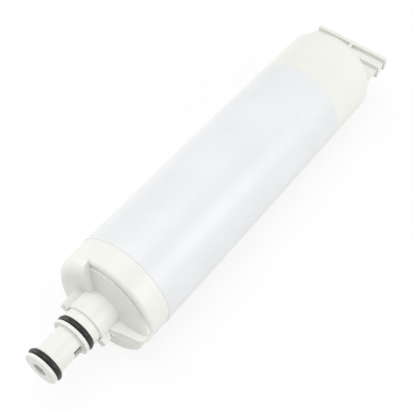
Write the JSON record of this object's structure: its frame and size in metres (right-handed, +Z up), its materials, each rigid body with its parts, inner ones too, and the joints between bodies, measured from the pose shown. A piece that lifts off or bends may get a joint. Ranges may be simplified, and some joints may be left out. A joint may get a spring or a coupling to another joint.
{
  "type": "refrigerator water filter cartridge",
  "caption": "Round off-white water filter cartridge with a ported nozzle, rubber seals, bayonet lugs, a cam shoulder, a wrapped label and a slide-on handle rail at the far end.",
  "frame": {"origin": "centre of the nozzle's tip face, on the cartridge's axis", "axes": "+X along the axis, out of the nozzle; +Y along the handle rail; +Z up, across the rail, as the cartridge lies in the picture"},
  "size_m": [0.2976, 0.0604, 0.0603],
  "materials": {
    "housing_plastic": "moulded polypropylene, warm off-white, slight sheen",
    "label_film": "cool light grey film with dark and blue print",
    "seal_rubber": "black, lightly greased",
    "cap_plastic": "natural white",
    "carbon": "pressed carbon, rough",
    "felt": "white felt",
    "net": "pale blue net"
  },
  "bodies": {
    "root": {"housing": "housing_plastic", "end_cap": "housing_plastic", "label": "label_film", "tip_seal": "seal_rubber", "base_seal": "seal_rubber", "front_block_cap": "cap_plastic", "cap_seal": "seal_rubber", "carbon_block": "carbon", "felt_wrap": "felt", "net_sleeve": "net", "rear_block_cap": "cap_plastic"}
  },
  "joints": []
}
